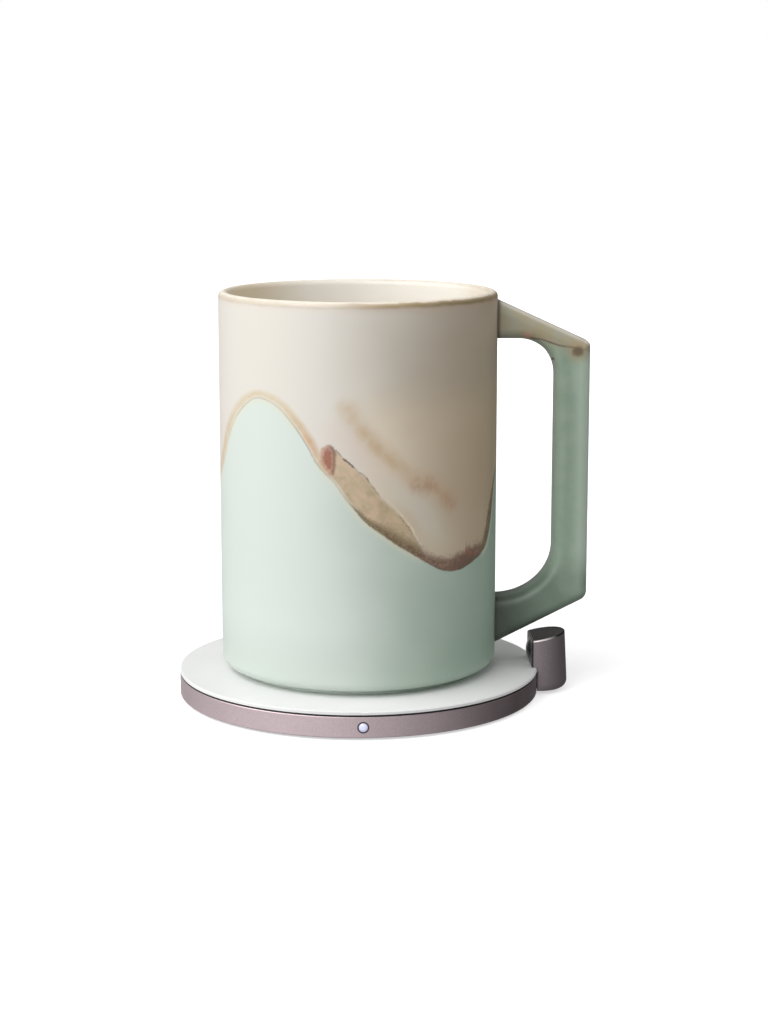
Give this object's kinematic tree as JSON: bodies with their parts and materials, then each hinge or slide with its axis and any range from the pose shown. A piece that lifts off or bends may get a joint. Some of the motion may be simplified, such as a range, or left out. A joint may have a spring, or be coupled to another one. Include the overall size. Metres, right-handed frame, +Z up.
{
  "type": "electric mug warmer",
  "caption": "Thin round electric mug warmer with a sensor tower at its edge, a lit push button at the front and a tall straight mug standing on it.",
  "frame": {"origin": "centre of the foot pad's underside, on the disc's axis, at table level", "axes": "+Z up along the disc's and the mug's common axis; -Y towards the front, where the button is; +X towards the sensor tower and the mug's handle"},
  "size_m": [0.1191, 0.1054, 0.1183],
  "materials": {
    "anodised_mauve": "fine bead-blasted anodised, pinkish grey",
    "white_plate": "satin white heating plate",
    "black_rubber": "matte black",
    "dark_plastic": "dark grey moulded plastic",
    "steel": "plain steel",
    "silicone": "matte dark grey silicone",
    "plain_aluminium": "plain rolled aluminium",
    "heater_film": "amber polyimide film",
    "insulation": "pale pressed fibre",
    "pan_steel": "pressed sheet steel",
    "glass_bead": "glossy bead",
    "white_lead": "white insulated lead",
    "bright_can": "bright metal can",
    "red_lead": "red insulated lead",
    "circuit_board": "green solder resist",
    "chip_black": "black moulding",
    "ferrite": "grey ferrite",
    "capacitor_tan": "tan ceramic chip",
    "connector_white": "natural nylon",
    "gold_contact": "gold plated",
    "led_white": "clear over white",
    "lit_lens": "lit, bluish white, slightly domed",
    "gloss_black": "smooth dark cap",
    "dark_window": "dark infrared window, glossy",
    "mug_glaze": "satin two-tone glaze, cream over mint"
  },
  "bodies": {
    "warmer": {"housing_ring": "anodised_mauve", "tower_shell": "anodised_mauve", "top_plate": "white_plate", "plate_gasket": "black_rubber", "base_cover": "dark_plastic", "cover_screws": "steel", "foot_pad": "silicone", "heat_spreader": "plain_aluminium", "heater_film": "heater_film", "insulation_pad": "insulation", "heater_pan": "pan_steel", "thermistor": "glass_bead", "thermistor_leads": "white_lead", "thermal_fuse": "bright_can", "heater_leads": "red_lead", "control_board": "circuit_board", "board_screws": "steel", "controller_chip": "chip_black", "power_chip": "chip_black", "power_inductor": "ferrite", "power_transistors": "chip_black", "board_capacitors": "capacitor_tan", "wire_connectors": "connector_white", "usb_shell": "steel", "usb_tongue": "chip_black", "usb_contacts": "gold_contact", "switch_body": "chip_black", "status_leds": "led_white", "button_bezel": "dark_plastic", "tower_cap": "gloss_black", "tower_window": "dark_window", "window_seal": "black_rubber", "sensor_can": "bright_can", "sensor_board": "circuit_board", "sensor_cable": "black_rubber", "tower_screws": "steel"},
    "button": {"button_cap": "lit_lens", "switch_plunger": "connector_white"},
    "mug": {"mug_body": "mug_glaze", "mug_handle": "mug_glaze"}
  },
  "joints": [
    {"name": "button_press", "type": "slide", "parent": "warmer", "child": "button", "axis": [0, 1, 0], "range_m": [0, 0.0004], "stiffness_N_per_m": 1000},
    {"name": "mug_lift", "type": "slide", "parent": "warmer", "child": "mug", "axis": [0, 0, 1], "range_m": [0, 0.12]}
  ]
}
